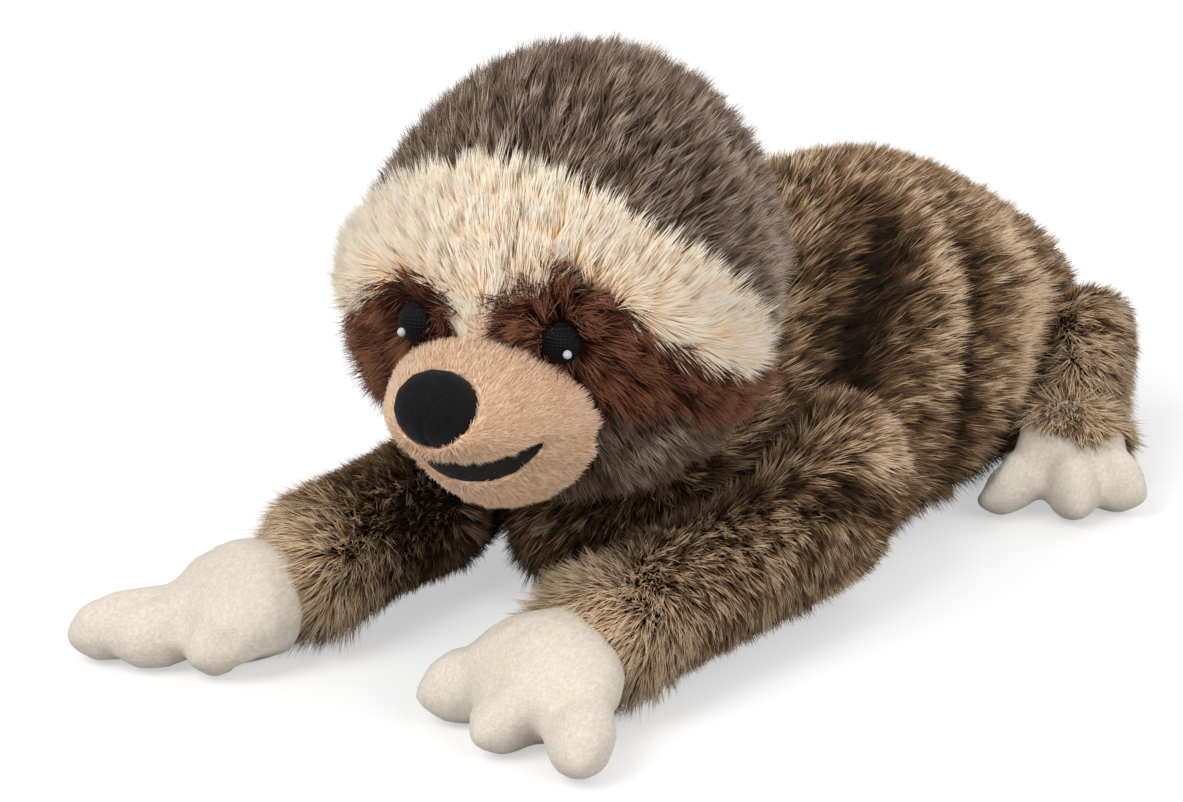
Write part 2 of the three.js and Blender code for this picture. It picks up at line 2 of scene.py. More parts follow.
# A stuffed toy sloth that lies on its belly.
#
# The imported model gives every stuffed piece its place and size. This script dresses it: each
# stuffed piece becomes a soft form of cloth, and the pile that covers it is grown on that form
# hair by hair. The model is loaded first.

# %% Load the imported model
import json
import math

import bmesh
import bpy
import numpy as np
from mathutils import Matrix, Vector


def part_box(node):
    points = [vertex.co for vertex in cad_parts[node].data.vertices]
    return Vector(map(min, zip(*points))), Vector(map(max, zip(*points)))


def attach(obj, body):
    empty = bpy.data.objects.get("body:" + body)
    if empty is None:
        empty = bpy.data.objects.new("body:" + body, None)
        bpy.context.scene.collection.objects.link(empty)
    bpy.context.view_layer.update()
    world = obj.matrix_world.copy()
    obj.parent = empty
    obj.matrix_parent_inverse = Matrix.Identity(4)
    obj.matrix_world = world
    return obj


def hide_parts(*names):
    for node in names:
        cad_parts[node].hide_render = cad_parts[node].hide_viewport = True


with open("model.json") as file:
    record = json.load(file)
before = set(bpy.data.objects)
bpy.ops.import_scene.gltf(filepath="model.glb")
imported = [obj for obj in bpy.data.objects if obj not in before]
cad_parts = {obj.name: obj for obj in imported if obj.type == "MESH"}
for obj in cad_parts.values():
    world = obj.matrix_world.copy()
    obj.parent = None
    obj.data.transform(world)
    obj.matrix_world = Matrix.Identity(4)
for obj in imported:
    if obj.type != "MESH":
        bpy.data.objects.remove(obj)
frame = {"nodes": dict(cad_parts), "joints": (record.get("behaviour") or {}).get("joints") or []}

scene = bpy.context.scene
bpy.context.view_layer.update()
pivot = {joint["child"]: Vector(joint["pos_m"]) for joint in frame["joints"]}

# %% [markdown]
# The camera stands where the photographer stood: to the toy's left of straight ahead and a
# little above it. A long lens from about a metre away keeps the hands and the head in the
# proportions of the photograph. Angles and a distance are easier to read and to change than a
# matrix, so the place is worked out from them.

# %% Camera
CAMERA_AZIMUTH = math.radians(37)
CAMERA_ELEVATION = math.radians(21)
CAMERA_DISTANCE = 1.1
CAMERA_TARGET = Vector((-0.0400, -0.0017, 0.0332))
FOCAL_PIXELS = 3884.5
IMAGE_WIDTH = 1183

camera_data = bpy.data.cameras.new("camera")
camera_data.sensor_width = 36
camera_data.lens = FOCAL_PIXELS / IMAGE_WIDTH * camera_data.sensor_width
camera_back = Vector((
    math.sin(CAMERA_AZIMUTH) * math.cos(CAMERA_ELEVATION),
    -math.cos(CAMERA_AZIMUTH) * math.cos(CAMERA_ELEVATION),
    math.sin(CAMERA_ELEVATION),
))
camera = bpy.data.objects.new("camera", camera_data)
camera.location = CAMERA_TARGET + CAMERA_DISTANCE * camera_back
camera.rotation_euler = (-camera_back).to_track_quat("-Z", "Y").to_euler()
scene.collection.objects.link(camera)
scene.camera = camera
print(f"camera: {camera_data.lens:.1f} mm lens")

# %% [markdown]
# Colours are written as they are read off a screen, from 0 to 255, and turned into the linear
# values that a shader needs. A few helpers keep the node trees short: the first adds a node with
# its values, or joins it to the sockets that it is given.

# %% Helpers for colours and nodes
def colour(red, green, blue):
    def linear(value):
        value /= 255
        return value / 12.92 if value <= 0.04045 else ((value + 0.055) / 1.055) ** 2.4

    return linear(red), linear(green), linear(blue), 1


def node(tree, kind, values=None, **settings):
    made = tree.nodes.new(kind)
    for key, value in settings.items():
        setattr(made, key, value)
    for key, value in (values or {}).items():
        if isinstance(value, bpy.types.NodeSocket):
            tree.links.new(value, made.inputs[key])
        else:
            made.inputs[key].default_value = value
    return made


def maths(tree, operation, *values):
    return node(tree, "ShaderNodeMath", dict(enumerate(values)), operation=operation).outputs[0]


def vectors(tree, operation, *values):
    made = node(tree, "ShaderNodeVectorMath", dict(enumerate(values)), operation=operation)
    return made.outputs[0]


def scaled(tree, vector, share):
    values = {0: vector, "Scale": share}
    return node(tree, "ShaderNodeVectorMath", values, operation="SCALE").outputs[0]


def split(tree, vector):
    return node(tree, "ShaderNodeSeparateXYZ", {"Vector": vector}).outputs


def combine(tree, x=0.0, y=0.0, z=0.0):
    return node(tree, "ShaderNodeCombineXYZ", {"X": x, "Y": y, "Z": z}).outputs[0]


def noise(tree, place, scale, detail, roughness=0.5):
    values = {"Vector": place, "Scale": scale, "Detail": detail, "Roughness": roughness}
    return node(tree, "ShaderNodeTexNoise", values).outputs["Fac"]


def new_material(name, roughness, sheen=0.0, specular=0.3):
    material = bpy.data.materials.new(name)
    material.use_nodes = True
    shader = material.node_tree.nodes["Principled BSDF"]
    shader.inputs["Roughness"].default_value = roughness
    shader.inputs["Sheen Weight"].default_value = sheen
    shader.inputs["Specular IOR Level"].default_value = specular
    return material, material.node_tree, shader


def ramp(tree, factor, stops):
    made = node(tree, "ShaderNodeValToRGB", {"Fac": factor})
    elements = made.color_ramp.elements
    while len(elements) < len(stops):
        elements.new(1)
    for element, (place, tint) in zip(elements, stops):
        element.position = place
        element.color = colour(*tint)
    return made.outputs["Color"]


def pattern(tree, shader, shade, stops, height, strength, distance):
    """Colours that follow a shade from 0 to 1, and a bump that follows a height."""
    tree.links.new(ramp(tree, shade, stops), shader.inputs["Base Color"])
    values = {"Height": height, "Strength": strength, "Distance": distance}
    bump = node(tree, "ShaderNodeBump", values)
    tree.links.new(bump.outputs["Normal"], shader.inputs["Normal"])


# %% [markdown]
# The photograph has soft studio light from above and a white sweep under the toy. A large lamp
# over the left shoulder of the camera is the main light. A weaker one from the right, a small
# one behind and a pale sky fill the shadows. The floor shows white to the camera alone and is a
# plain pale sheet to everything else, so it keeps the toy's shadow and throws little light back.

# %% Light and floor
def area_lamp(name, place, size, power):
    data = bpy.data.lights.new(name, "AREA")
    data.shape = "DISK"
    data.size = size
    data.energy = power
    lamp = bpy.data.objects.new(name, data)
    lamp.location = place
    lamp.rotation_euler = (-Vector(place)).to_track_quat("-Z", "Y").to_euler()
    scene.collection.objects.link(lamp)


area_lamp("main_lamp", (-0.35, -2.0, 2.1), 1.75, 52)
area_lamp("side_lamp", (1.3, -0.3, 0.7), 0.9, 7)
area_lamp("back_lamp", (0.1, 1.1, 1.2), 0.8, 4)
SKY_STRENGTH = 0.6
FLOOR_SIZE = 6
FLOOR_SHARE = 0.5

world = bpy.data.worlds.new("studio")
scene.world = world
world.use_nodes = True
background = world.node_tree.nodes["Background"]
ray = node(world.node_tree, "ShaderNodeLightPath")
seen = node(
    world.node_tree, "ShaderNodeMapRange",
    {"Value": ray.outputs["Is Camera Ray"], "To Min": SKY_STRENGTH},
)
world.node_tree.links.new(seen.outputs["Result"], background.inputs["Strength"])
background.inputs["Color"].default_value = (1, 1, 1, 1)

floor_material, tree, shader = new_material("studio_floor", 0.9, specular=0)
shader.inputs["Base Color"].default_value = (FLOOR_SHARE, FLOOR_SHARE, FLOOR_SHARE, 1)
shader.inputs["Emission Color"].default_value = (1, 1, 1, 1)
ray = node(tree, "ShaderNodeLightPath")
glow = maths(tree, "MULTIPLY", ray.outputs["Is Camera Ray"], 1 - FLOOR_SHARE)
tree.links.new(glow, shader.inputs["Emission Strength"])
bpy.ops.mesh.primitive_plane_add(size=FLOOR_SIZE, location=(0, 0, 0))
floor = bpy.context.object
floor.name = "studio_floor"
floor.data.materials.append(floor_material)
scene.view_settings.view_transform = "Standard"
print("floor and three lamps")

# %% [markdown]
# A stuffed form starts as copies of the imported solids: the skin and its filling. A voxel remesh
# melts them into one even skin of small squares, and closes the seats of the neighbours, which
# are filled with plain balls first. Smoothing takes the facets off. Then the form is drawn in a
# little and Blender's cloth blows it up from inside for a moment, as fibre does. The push is
# scaled to what was drawn in, so that the form keeps its size. The torso settles on the floor.

# %% Helpers for soft forms
scene.frame_start = 1
FORM_FRAMES = 14
PRESSURE = 4
BODY_SWELL = 0.0012
PAW_SWELL = 0.0006
UNEVEN_SWELL = 1.8
FLOOR_CLEARANCE = 0.0004
SETTLING_HEIGHT = 0.04


def middle_of(cad_node):
    low, high = (np.array(corner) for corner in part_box(cad_node))
    return (low + high) / 2


def link_mesh(name, mesh):
    made = bpy.data.objects.new(name, mesh)
    scene.collection.objects.link(made)
    return made


def bake_modifiers(piece):
    evaluated = piece.evaluated_get(bpy.context.evaluated_depsgraph_get())
    mesh = bpy.data.meshes.new_from_object(evaluated)
    piece.modifiers.clear()
    piece.data = mesh


def points_of(mesh):
    flat = np.empty(len(mesh.vertices) * 3)
    mesh.vertices.foreach_get("co", flat)
    return flat.reshape(-1, 3)


def normals_of(mesh):
    flat = np.empty(len(mesh.vertices) * 3)
    mesh.vertex_normals.foreach_get("vector", flat)
    return flat.reshape(-1, 3)


def set_points(mesh, points):
    mesh.vertices.foreach_set("co", points.ravel())
    mesh.update()


def soft_step(value, low, high):
    share = np.clip((value - low) / (high - low), 0, 1)
    return share * share * (3 - 2 * share)


def melt(piece, voxel, smoothing):
    """One even skin of squares, with the facets smoothed away."""
    remesh = piece.modifiers.new("melt", "REMESH")
    remesh.mode = "VOXEL"
    remesh.voxel_size = voxel
    if smoothing:
        smooth = piece.modifiers.new("smooth", "SMOOTH")
        smooth.factor = 0.5
        smooth.iterations = smoothing
    bake_modifiers(piece)


def puff(piece, swell):
    """Fibre pushes the cloth outward by a given mean distance, and no point moves much further."""
    start = points_of(piece.data)
    cloth = piece.modifiers.new("stuffing", "CLOTH")
    cloth.settings.use_pressure = True
    cloth.settings.uniform_pressure_force = PRESSURE
    cloth.settings.quality = 4
    cloth.settings.effector_weights.gravity = 0
    cloth.point_cache.frame_end = FORM_FRAMES
    for moment in range(1, FORM_FRAMES + 1):
        scene.frame_set(moment)
    bake_modifiers(piece)
    scene.frame_set(1)
    moved = points_of(piece.data) - start
    length = np.linalg.norm(moved, axis=1, keepdims=True)
    moved *= swell / length.mean()
    length *= swell / length.mean()
    moved *= np.minimum(1, UNEVEN_SWELL * swell / np.maximum(length, 1e-9))
    set_points(piece.data, start + moved)


def new_tree(name, sizes, materials=()):
    """A tree with a geometry and some named inputs going in, and a geometry coming out."""
    tree = bpy.data.node_groups.new(name, "GeometryNodeTree")
    tree.interface.new_socket("Geometry", in_out="INPUT", socket_type="NodeSocketGeometry")
    for size in sizes:
        tree.interface.new_socket(size, in_out="INPUT", socket_type="NodeSocketFloat")
    for material in materials:
        tree.interface.new_socket(material, in_out="INPUT", socket_type="NodeSocketMaterial")
    tree.interface.new_socket("Geometry", in_out="OUTPUT", socket_type="NodeSocketGeometry")
    return tree, node(tree, "NodeGroupInput").outputs


def sockets_of(tree):
    """The identifier of each named input, which a modifier is set by."""
    inputs = [item for item in tree.interface.items_tree if item.in_out == "INPUT"]
    return {item.name: item.identifier for item in inputs}


def draw_in_tree():
    """A surface that lies a given depth below the one it is given, found through a volume."""
    tree, group = new_tree("draw_in", ["Depth", "Voxel"])
    band = maths(tree, "MULTIPLY", group["Depth"], 2.0)
    volume = node(
        tree, "GeometryNodeMeshToVolume",
        {"Mesh": group["Geometry"], "Voxel Size": group["Voxel"], "Interior Band Width": band},
        resolution_mode="VOXEL_SIZE",
    )
    surface = node(
        tree, "GeometryNodeVolumeToMesh",
        {"Volume": volume.outputs[0], "Voxel Size": group["Voxel"], "Threshold": 0.5},
        resolution_mode="VOXEL_SIZE",
    )
    result = node(tree, "NodeGroupOutput")
    tree.links.new(surface.outputs[0], result.inputs[0])
    return tree


DRAW_IN = draw_in_tree()


def draw_in(piece, depth, voxel):
    shrink = piece.modifiers.new("draw_in", "NODES")
    shrink.node_group = DRAW_IN
    socket = sockets_of(DRAW_IN)
    shrink[socket["Depth"]] = depth
    shrink[socket["Voxel"]] = voxel
    smooth = piece.modifiers.new("smooth", "SMOOTH")
    smooth.factor = 0.5
    smooth.iterations = 4
    bake_modifiers(piece)


def stuffed(name, nodes, voxel, smoothing, inset, balls=(), swell=BODY_SWELL, settles=False):
    """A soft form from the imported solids, drawn in by the height of the pile that covers it."""
    shape = bmesh.new()
    for cad_node in nodes:
        shape.from_mesh(frame["nodes"][cad_node].data)
    for centre, radius in balls:
        bmesh.ops.create_icosphere(
            shape, subdivisions=3, radius=radius, matrix=Matrix.Translation(centre)
        )
    bmesh.ops.remove_doubles(shape, verts=shape.verts, dist=1e-6)
    mesh = bpy.data.meshes.new(name)
    shape.to_mesh(mesh)
    shape.free()
    piece = link_mesh(name, mesh)
    melt(piece, voxel, smoothing)
    depth = inset + swell
    if depth:
        draw_in(piece, depth, voxel)
    if swell:
        puff(piece, swell)
    points = points_of(piece.data)
    if settles:
        gap = points[:, 2].min() - FLOOR_CLEARANCE
        points[:, 2] -= gap * (1 - soft_step(points[:, 2], gap, gap + SETTLING_HEIGHT))
    points[:, 2] = np.maximum(points[:, 2], FLOOR_CLEARANCE)
    set_points(piece.data, points)
    piece.data.materials.clear()
    piece.data.shade_smooth()
    print(f"{name}: {len(piece.data.polygons)} faces")
    return piece


# %% [markdown]
# The fur fabric's backing lies under the pile, a few millimetres inside the outline of the toy.
# Torso, head, arms and legs are made alike. Balls fill the hollows that the neck, the shoulders,
# the hips, the wrists and the ankles turn in, so that the backing closes there.

# %% Stuffed forms under the fur
FUR_INSET = 0.0045
LIMB_INSET = 0.0038
NECK_BALL = 0.0285
SHOULDER_BALL = 0.0205
HIP_BALL = 0.0175
WRIST_BALL = 0.0145
ANKLE_BALL = 0.0125
TRUNK_VOXEL = 0.003
LIMB_VOXEL = 0.0035
TORSO_SMOOTHING = 22
HEAD_SMOOTHING = 46
SIDES = {"left": 1, "right": -1}
LIMBS = {"arm": ("hand", WRIST_BALL, 12), "leg": ("foot", ANKLE_BALL, 10)}

forms = {}
torso_balls = [(pivot["neck"], NECK_BALL)]
torso_balls += [(pivot[f"arm_{side}"], SHOULDER_BALL) for side in SIDES]
torso_balls += [(pivot[f"leg_{side}"], HIP_BALL) for side in SIDES]
forms["torso"] = stuffed(
    "torso_backing", ["torso_skin", "torso_filling"],
    TRUNK_VOXEL, TORSO_SMOOTHING, FUR_INSET, torso_balls, settles=True,
)
forms["head"] = stuffed(
    "head_backing", ["head_skin", "head_filling"],
    TRUNK_VOXEL, HEAD_SMOOTHING, FUR_INSET, [(pivot["neck"], NECK_BALL)],
)
for side in SIDES:
    for limb, (end, ball, smoothing) in LIMBS.items():
        key = f"{limb}_{side}"
        forms[key] = stuffed(
            f"{key}_backing", [f"{key}_skin", f"{key}_filling"],
            LIMB_VOXEL, smoothing, LIMB_INSET, [(pivot[f"{end}_{side}"], ball)],
        )

# %% [markdown]
# The backing of fur fabric is a knitted ground. It hardly shows between the hairs, but where it
# does it is dark and has fine rows of loops. Two crossed waves make the rows, and they also
# press into the surface as a slight bump.

# %% Knitted backing
def knitted(name, dark, light, rows, relief=0.0004, roughness=1.0, specular=0.0):
    material, tree, shader = new_material(name, roughness, specular=specular)
    place = node(tree, "ShaderNodeTexCoord").outputs["Object"]
    along = node(tree, "ShaderNodeTexWave", {"Vector": place, "Scale": rows, "Distortion": 1.5})
    across = node(
        tree, "ShaderNodeTexWave", {"Vector": place, "Scale": rows, "Distortion": 1.5},
        bands_direction="Z",
    )
    loops = maths(tree, "MULTIPLY", along.outputs["Fac"], across.outputs["Fac"])
    pattern(tree, shader, loops, [(0, dark), (1, light)], loops, 0.5, relief)
    return material


fur_backing = knitted("fur_backing", (26, 18, 12), (52, 38, 28), 260)
cream_backing = knitted("cream_backing", (240, 186, 140), (250, 212, 174), 260)
chocolate_backing = knitted("chocolate_backing", (30, 14, 8), (56, 30, 20), 260)

# %% [markdown]
# A hair of long pile is dark at its root and lighter at its tip, and neighbouring hairs differ.
# Each hair carries a small map of its own: across it says how light the hair is, and along it
# says how far up the hair a point lies. The colour is read from these two numbers alone, so it
# stays with the hair and needs no picture.

# %% Pile material
WARM_SHEEN = (1, 0.8, 0.6, 1)


def pile_material(name, roots, tips, sheen=0.03, root_end=0.1, tip_start=0.85):
    material, tree, shader = new_material(name, 0.7, sheen, specular=0.12)
    shader.inputs["Sheen Tint"].default_value = WARM_SHEEN
    hair_map = node(tree, "ShaderNodeUVMap", uv_map="OFBake")
    place = split(tree, hair_map.outputs["UV"])
    root_tint = ramp(tree, place["X"], roots)
    tip_tint = ramp(tree, place["X"], tips)
    rise = node(
        tree, "ShaderNodeMapRange",
        {"Value": place["Y"], "From Min": root_end, "From Max": tip_start},
        interpolation_type="SMOOTHSTEP",
    )
    blend = node(tree, "ShaderNodeMix", data_type="RGBA")
    tree.links.new(rise.outputs["Result"], blend.inputs["Factor"])
    tree.links.new(root_tint, blend.inputs[6])
    tree.links.new(tip_tint, blend.inputs[7])
    tree.links.new(blend.outputs[2], shader.inputs["Base Color"])
    return material


grey_fur = pile_material(
    "grey_brown_pile",
    [(0, (32, 21, 14)), (0.5, (66, 49, 37)), (1, (108, 85, 68))],
    [
        (0, (50, 36, 26)), (0.35, (100, 80, 66)),
        (0.7, (144, 122, 105)), (1, (208, 190, 174)),
    ],
)
golden_fur = pile_material(
    "golden_brown_pile",
    [(0, (20, 12, 6)), (0.5, (62, 43, 26)), (1, (170, 138, 106))],
    [
        (0, (34, 22, 13)), (0.35, (94, 69, 46)),
        (0.7, (158, 124, 90)), (1, (248, 220, 184)),
    ],
)
# The peach roots are partly the brow pile's own colour and partly painted light: the warm glow
# that bounces between the pale hairs.
cream_pile = pile_material(
    "cream_pile",
    [(0, (255, 198, 148)), (1, (255, 226, 188))],
    [(0, (255, 226, 192)), (0.5, (255, 237, 210)), (1, (255, 246, 228))],
    sheen=0.4, root_end=0.25,
)
chocolate_pile = pile_material(
    "chocolate_pile",
    [(0, (20, 8, 4)), (1, (60, 28, 17))],
    [(0, (36, 15, 8)), (0.5, (80, 41, 26)), (1, (156, 104, 78))],
)

# %% [markdown]
# The pile itself is grown by a tree of Geometry Nodes. It scatters roots over the backing, more
# or fewer as the cover asks, and stands a hair on each: a thin three-sided spike, straight or
# with a bend. Three things turn a hair away from the backing's own normal: the way that the pile
# is brushed, the tuft that it belongs to, and a loose share of its own. A hair's length and
# shade differ from its neighbours' too.

# %% What each hair is like
UNEVEN_LENGTH = (0.7, 1.15)
TUFT_LENGTH = (0.8, 1.2)
MAP_EDGE = 0.02


def attribute(tree, label, kind="FLOAT"):
    made = node(tree, "GeometryNodeInputNamedAttribute", {"Name": label}, data_type=kind)
    return made.outputs["Attribute"]


def store(tree, geometry, label, value, kind, domain):
    return node(
        tree, "GeometryNodeStoreNamedAttribute",
        {"Geometry": geometry, "Name": label, "Value": value}, data_type=kind, domain=domain,
    ).outputs[0]


def random_number(tree, low, high, seed):
    made = node(
        tree, "FunctionNodeRandomValue", {2: low, 3: high, "Seed": seed}, data_type="FLOAT"
    )
    return made.outputs[1]


def hair_turn(tree, group, roots, tuft, to_tuft, seed):
    """The turn of each hair: the normal, and four shares that lean it over."""
    flow = attribute(tree, "flow", "FLOAT_VECTOR")
    tuft_turn = vectors(tree, "SUBTRACT", tuft["Color"], (0.5, 0.5, 0.5))
    pull = maths(tree, "DIVIDE", group["Tuft pull"], group["Length"])
    loose = node(
        tree, "FunctionNodeRandomValue",
        {0: (-1, -1, -1), 1: (1, 1, 1), "Seed": seed}, data_type="FLOAT_VECTOR",
    )
    direction = roots["Normal"]
    for part, share in (
        (flow, group["Lean"]),
        (tuft_turn, group["Tuft turn"]),
        (to_tuft, pull),
        (loose.outputs[0], group["Loose turn"]),
    ):
        direction = vectors(tree, "ADD", direction, scaled(tree, part, share))
    return node(
        tree, "FunctionNodeAxesToRotation", {"Primary Axis": direction, "Secondary Axis": flow}
    ).outputs[0]


def hair_size(tree, group, width, tuft_value, seed):
    """The width and the length of each hair."""
    uneven = random_number(tree, *UNEVEN_LENGTH, seed)
    length = maths(tree, "MULTIPLY", attribute(tree, "longer"), uneven)
    by_tuft = node(
        tree, "ShaderNodeMapRange",
        {"Value": tuft_value, "To Min": TUFT_LENGTH[0], "To Max": TUFT_LENGTH[1]},
    )
    for factor in (by_tuft.outputs[0], group["Length"]):
        length = maths(tree, "MULTIPLY", length, factor)
    return combine(tree, width, width, length)


def hair_shade(tree, group, stretched, tuft_value, seed):
    """How light each hair is: its panel's tone, a slow mottle, its tuft and a share of its own."""
    mottle = noise(tree, stretched, group["Spots per metre"], 3.0, 0.6)
    shade = attribute(tree, "tone")
    for part, share in (
        (maths(tree, "SUBTRACT", mottle, 0.5), group["Spot contrast"]),
        (maths(tree, "SUBTRACT", tuft_value, 0.5), group["Tuft contrast"]),
        (random_number(tree, -0.5, 0.5, seed), group["Hair contrast"]),
    ):
        shade = maths(tree, "MULTIPLY_ADD", part, share, shade)
    limits = {"Value": shade, "Min": MAP_EDGE, "Max": 1 - 2 * MAP_EDGE}
    return node(tree, "ShaderNodeClamp", limits).outputs[0]


def hair_shape(tree, group, segments, bend):
    """One spike of unit height that keeps in mind how high and how far across each corner is."""
    spike = node(
        tree, "GeometryNodeMeshCone",
        {
            "Vertices": 3, "Side Segments": segments,
            "Radius Top": 0.0, "Radius Bottom": 0.5, "Depth": 1.0,
        },
        fill_type="NGON",
    )
    spot = split(tree, node(tree, "GeometryNodeInputPosition").outputs[0])
    hair = store(tree, spike.outputs["Mesh"], "rise", spot["Z"], "FLOAT", "POINT")
    hair = store(tree, hair, "breadth", spot["X"], "FLOAT", "POINT")
    if not bend:
        return hair
    lean = maths(tree, "MULTIPLY", maths(tree, "POWER", spot["Z"], 2.0), group["Bend"])
    bent = {"Geometry": hair, "Offset": combine(tree, lean)}
    return node(tree, "GeometryNodeSetPosition", bent).outputs[0]


# %% [markdown]
# Two layers make the pile: a dense one of straight hairs, and a thin one of bent hairs over it.
# The light falls on the pile as a whole, so each hair mostly keeps the normal of its ground. The
# inputs are what the long fur of the body needs, and other panels change some of them.

# %% Tree that grows pile
FUR_SIZES = {
    "Under density": 2_600_000, "Over density": 130_000, "Under width": 0.0005,
    "Over width": 0.00042, "Length": 0.0067, "Lean": 1.05, "Bend": 0.35, "Tuft turn": 0.8,
    "Tuft pull": 0.5, "Loose turn": 0.3, "Tufts per metre": 520, "Spots per metre": 240,
    "Stretch": 0.7, "Spot contrast": 1.7, "Tuft contrast": 0.6, "Hair contrast": 0.6, "Seed": 3,
}
OWN_NORMAL = 0.35


def grow_layer(tree, group, name, segments, bend, seed_step):
    """One layer of hairs that stand on the backing."""
    seed = maths(tree, "ADD", group["Seed"], seed_step)
    density = maths(tree, "MULTIPLY", group[f"{name} density"], attribute(tree, "cover"))
    roots = node(
        tree, "GeometryNodeDistributePointsOnFaces",
        {"Mesh": group["Geometry"], "Density": density, "Seed": seed},
    ).outputs
    place = node(tree, "GeometryNodeInputPosition").outputs[0]
    stretch = combine(tree, 1.0, group["Stretch"], 1.0)
    stretched = vectors(tree, "MULTIPLY", place, stretch)
    tuft = node(
        tree, "ShaderNodeTexVoronoi", {"Vector": stretched, "Scale": group["Tufts per metre"]}
    ).outputs
    tuft_place = vectors(tree, "DIVIDE", tuft["Position"], stretch)
    to_tuft = vectors(tree, "SUBTRACT", tuft_place, place)
    tuft_value = split(tree, tuft["Color"])["X"]
    grounded = store(tree, roots["Points"], "ground", roots["Normal"], "FLOAT_VECTOR", "POINT")
    stand = node(
        tree, "GeometryNodeInstanceOnPoints",
        {
            "Points": grounded,
            "Instance": hair_shape(tree, group, segments, bend),
            "Rotation": hair_turn(tree, group, roots, tuft, to_tuft, seed),
            "Scale": hair_size(tree, group, group[f"{name} width"], tuft_value, seed),
        },
    )
    shade = hair_shade(tree, group, stretched, tuft_value, seed)
    return store(tree, stand.outputs[0], "shade", shade, "FLOAT", "INSTANCE")


def pile_tree():
    tree, group = new_tree("pile", FUR_SIZES, ["Material"])
    layers = node(tree, "GeometryNodeJoinGeometry")
    tree.links.new(grow_layer(tree, group, "Under", 1, False, 0), layers.inputs[0])
    tree.links.new(grow_layer(tree, group, "Over", 2, True, 1), layers.inputs[0])
    real = node(tree, "GeometryNodeRealizeInstances", {"Geometry": layers.outputs[0]})

    shade = attribute(tree, "shade")
    across = maths(tree, "MULTIPLY_ADD", attribute(tree, "breadth"), MAP_EDGE, shade)
    up = maths(tree, "MULTIPLY_ADD", attribute(tree, "rise"), 1 - 2 * MAP_EDGE, MAP_EDGE)
    mapped = store(
        tree, real.outputs[0], "OFBake", combine(tree, across, up), "FLOAT2", "CORNER"
    )

    spot = split(tree, node(tree, "GeometryNodeInputPosition").outputs[0])
    above = maths(tree, "MAXIMUM", spot["Z"], FLOOR_CLEARANCE)
    lifted = {"Geometry": mapped, "Position": combine(tree, spot["X"], spot["Y"], above)}
    laid = node(tree, "GeometryNodeSetPosition", lifted)
    dressed = node(
        tree, "GeometryNodeSetMaterial",
        {"Geometry": laid.outputs[0], "Material": group["Material"]},
    )
    smooth = node(tree, "GeometryNodeSetShadeSmooth", {"Geometry": dressed.outputs[0]})

    own = node(tree, "GeometryNodeInputNormal").outputs[0]
    ground = attribute(tree, "ground", "FLOAT_VECTOR")
    soft = node(tree, "GeometryNodeSetMeshNormal", mode="FREE", domain="POINT")
    tree.links.new(smooth.outputs[0], soft.inputs["Mesh"])
    lit = vectors(tree, "ADD", ground, scaled(tree, own, OWN_NORMAL))
    tree.links.new(lit, soft.inputs["Custom Normal"])
    result = node(tree, "NodeGroupOutput")
    tree.links.new(soft.outputs[0], result.inputs[0])
    return tree


PILE = pile_tree()
print("pile tree:", len(PILE.nodes), "nodes")

# %% [markdown]
# Every furry panel is made by one function. It writes four things on the backing, point by
# point: how much of it the pile covers, the way it is brushed, how long and how light it is.
# The tree reads them and grows the hairs, and the result becomes a plain mesh of its own that
# moves with the same body as the backing.

# %% Helper that grows a panel of pile
SOCKET = sockets_of(PILE)


def write_attribute(mesh, label, values):
    """One number or one direction for each point; a single one goes for them all."""
    values = np.asarray(values, float)
    is_direction = label == "flow"
    made = mesh.attributes.new(label, "FLOAT_VECTOR" if is_direction else "FLOAT", "POINT")
    count = len(mesh.vertices)
    spread = np.broadcast_to(values, (count, 3) if is_direction else count)
    made.data.foreach_set("vector" if is_direction else "value", np.ravel(spread))


def grow(name, body, form, material, slot, cover, flow, tone, longer=1.0, stands_for=(), **sizes):
    base = link_mesh(name, form.data.copy())
    for label, values in {"cover": cover, "longer": longer, "tone": tone, "flow": flow}.items():
        write_attribute(base.data, label, values)
    pile = base.modifiers.new("pile", "NODES")
    pile.node_group = PILE
    for size, value in {**FUR_SIZES, **sizes}.items():
        pile[SOCKET[size.replace("_", " ").capitalize()]] = float(value)
    pile[SOCKET["Material"]] = material
    bake_modifiers(base)
    base.name = name
    for label in ("cover", "longer", "tone", "flow", "rise", "breadth", "shade", "ground"):
        if label in base.data.attributes:
            base.data.attributes.remove(base.data.attributes[label])
    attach(base, body)
    if stands_for:
        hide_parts(*stands_for)
    base.data.calc_loop_triangles()
    print(f"{name}: {len(base.data.loop_triangles)} triangles")
    return base


def unit(directions):
    return directions / np.maximum(np.linalg.norm(directions, axis=1, keepdims=True), 1e-9)


def along_surface(form, direction):
    """The part of each direction that lies in the surface."""
    normals = normals_of(form.data)
    direction = np.broadcast_to(np.array(direction, float), normals.shape)
    return unit(direction - normals * np.sum(direction * normals, axis=1, keepdims=True))


# %% [markdown]
# Where one stuffed piece is sewn into another, hairs would only fill the inside of its
# neighbour. The nearest point on the neighbour's backing tells which roots lie inside it, and
# those deeper than a few millimetres stay bare. It also tells what stands clear of a neighbour.

# %% Helpers that tell inside from outside
from mathutils.bvhtree import BVHTree

HIDDEN_DEPTH = 0.006
STRAIGHT_BELOW = 0.8


def gaps_to(form, other):
    """How far each point lies from another form, and how high above its surface."""
    mesh = other.data
    tree = BVHTree.FromPolygons([v.co for v in mesh.vertices], [p.vertices for p in mesh.polygons])
    gaps = []
    heights = []
    for vertex in form.data.vertices:
        place, normal, _, gap = tree.find_nearest(vertex.co)
        gaps.append(gap)
        heights.append((vertex.co - place).dot(normal))
    return np.array(gaps), np.array(heights)


def outside(form, others, depth=HIDDEN_DEPTH):
    """0 where a point lies deeper than the depth inside one of the others, and else 1."""
    bare = np.ones(len(form.data.vertices))
    for other in others:
        gap, height = gaps_to(form, other)
        bare[(gap > depth) & (height < -STRAIGHT_BELOW * gap)] = 0
    return bare


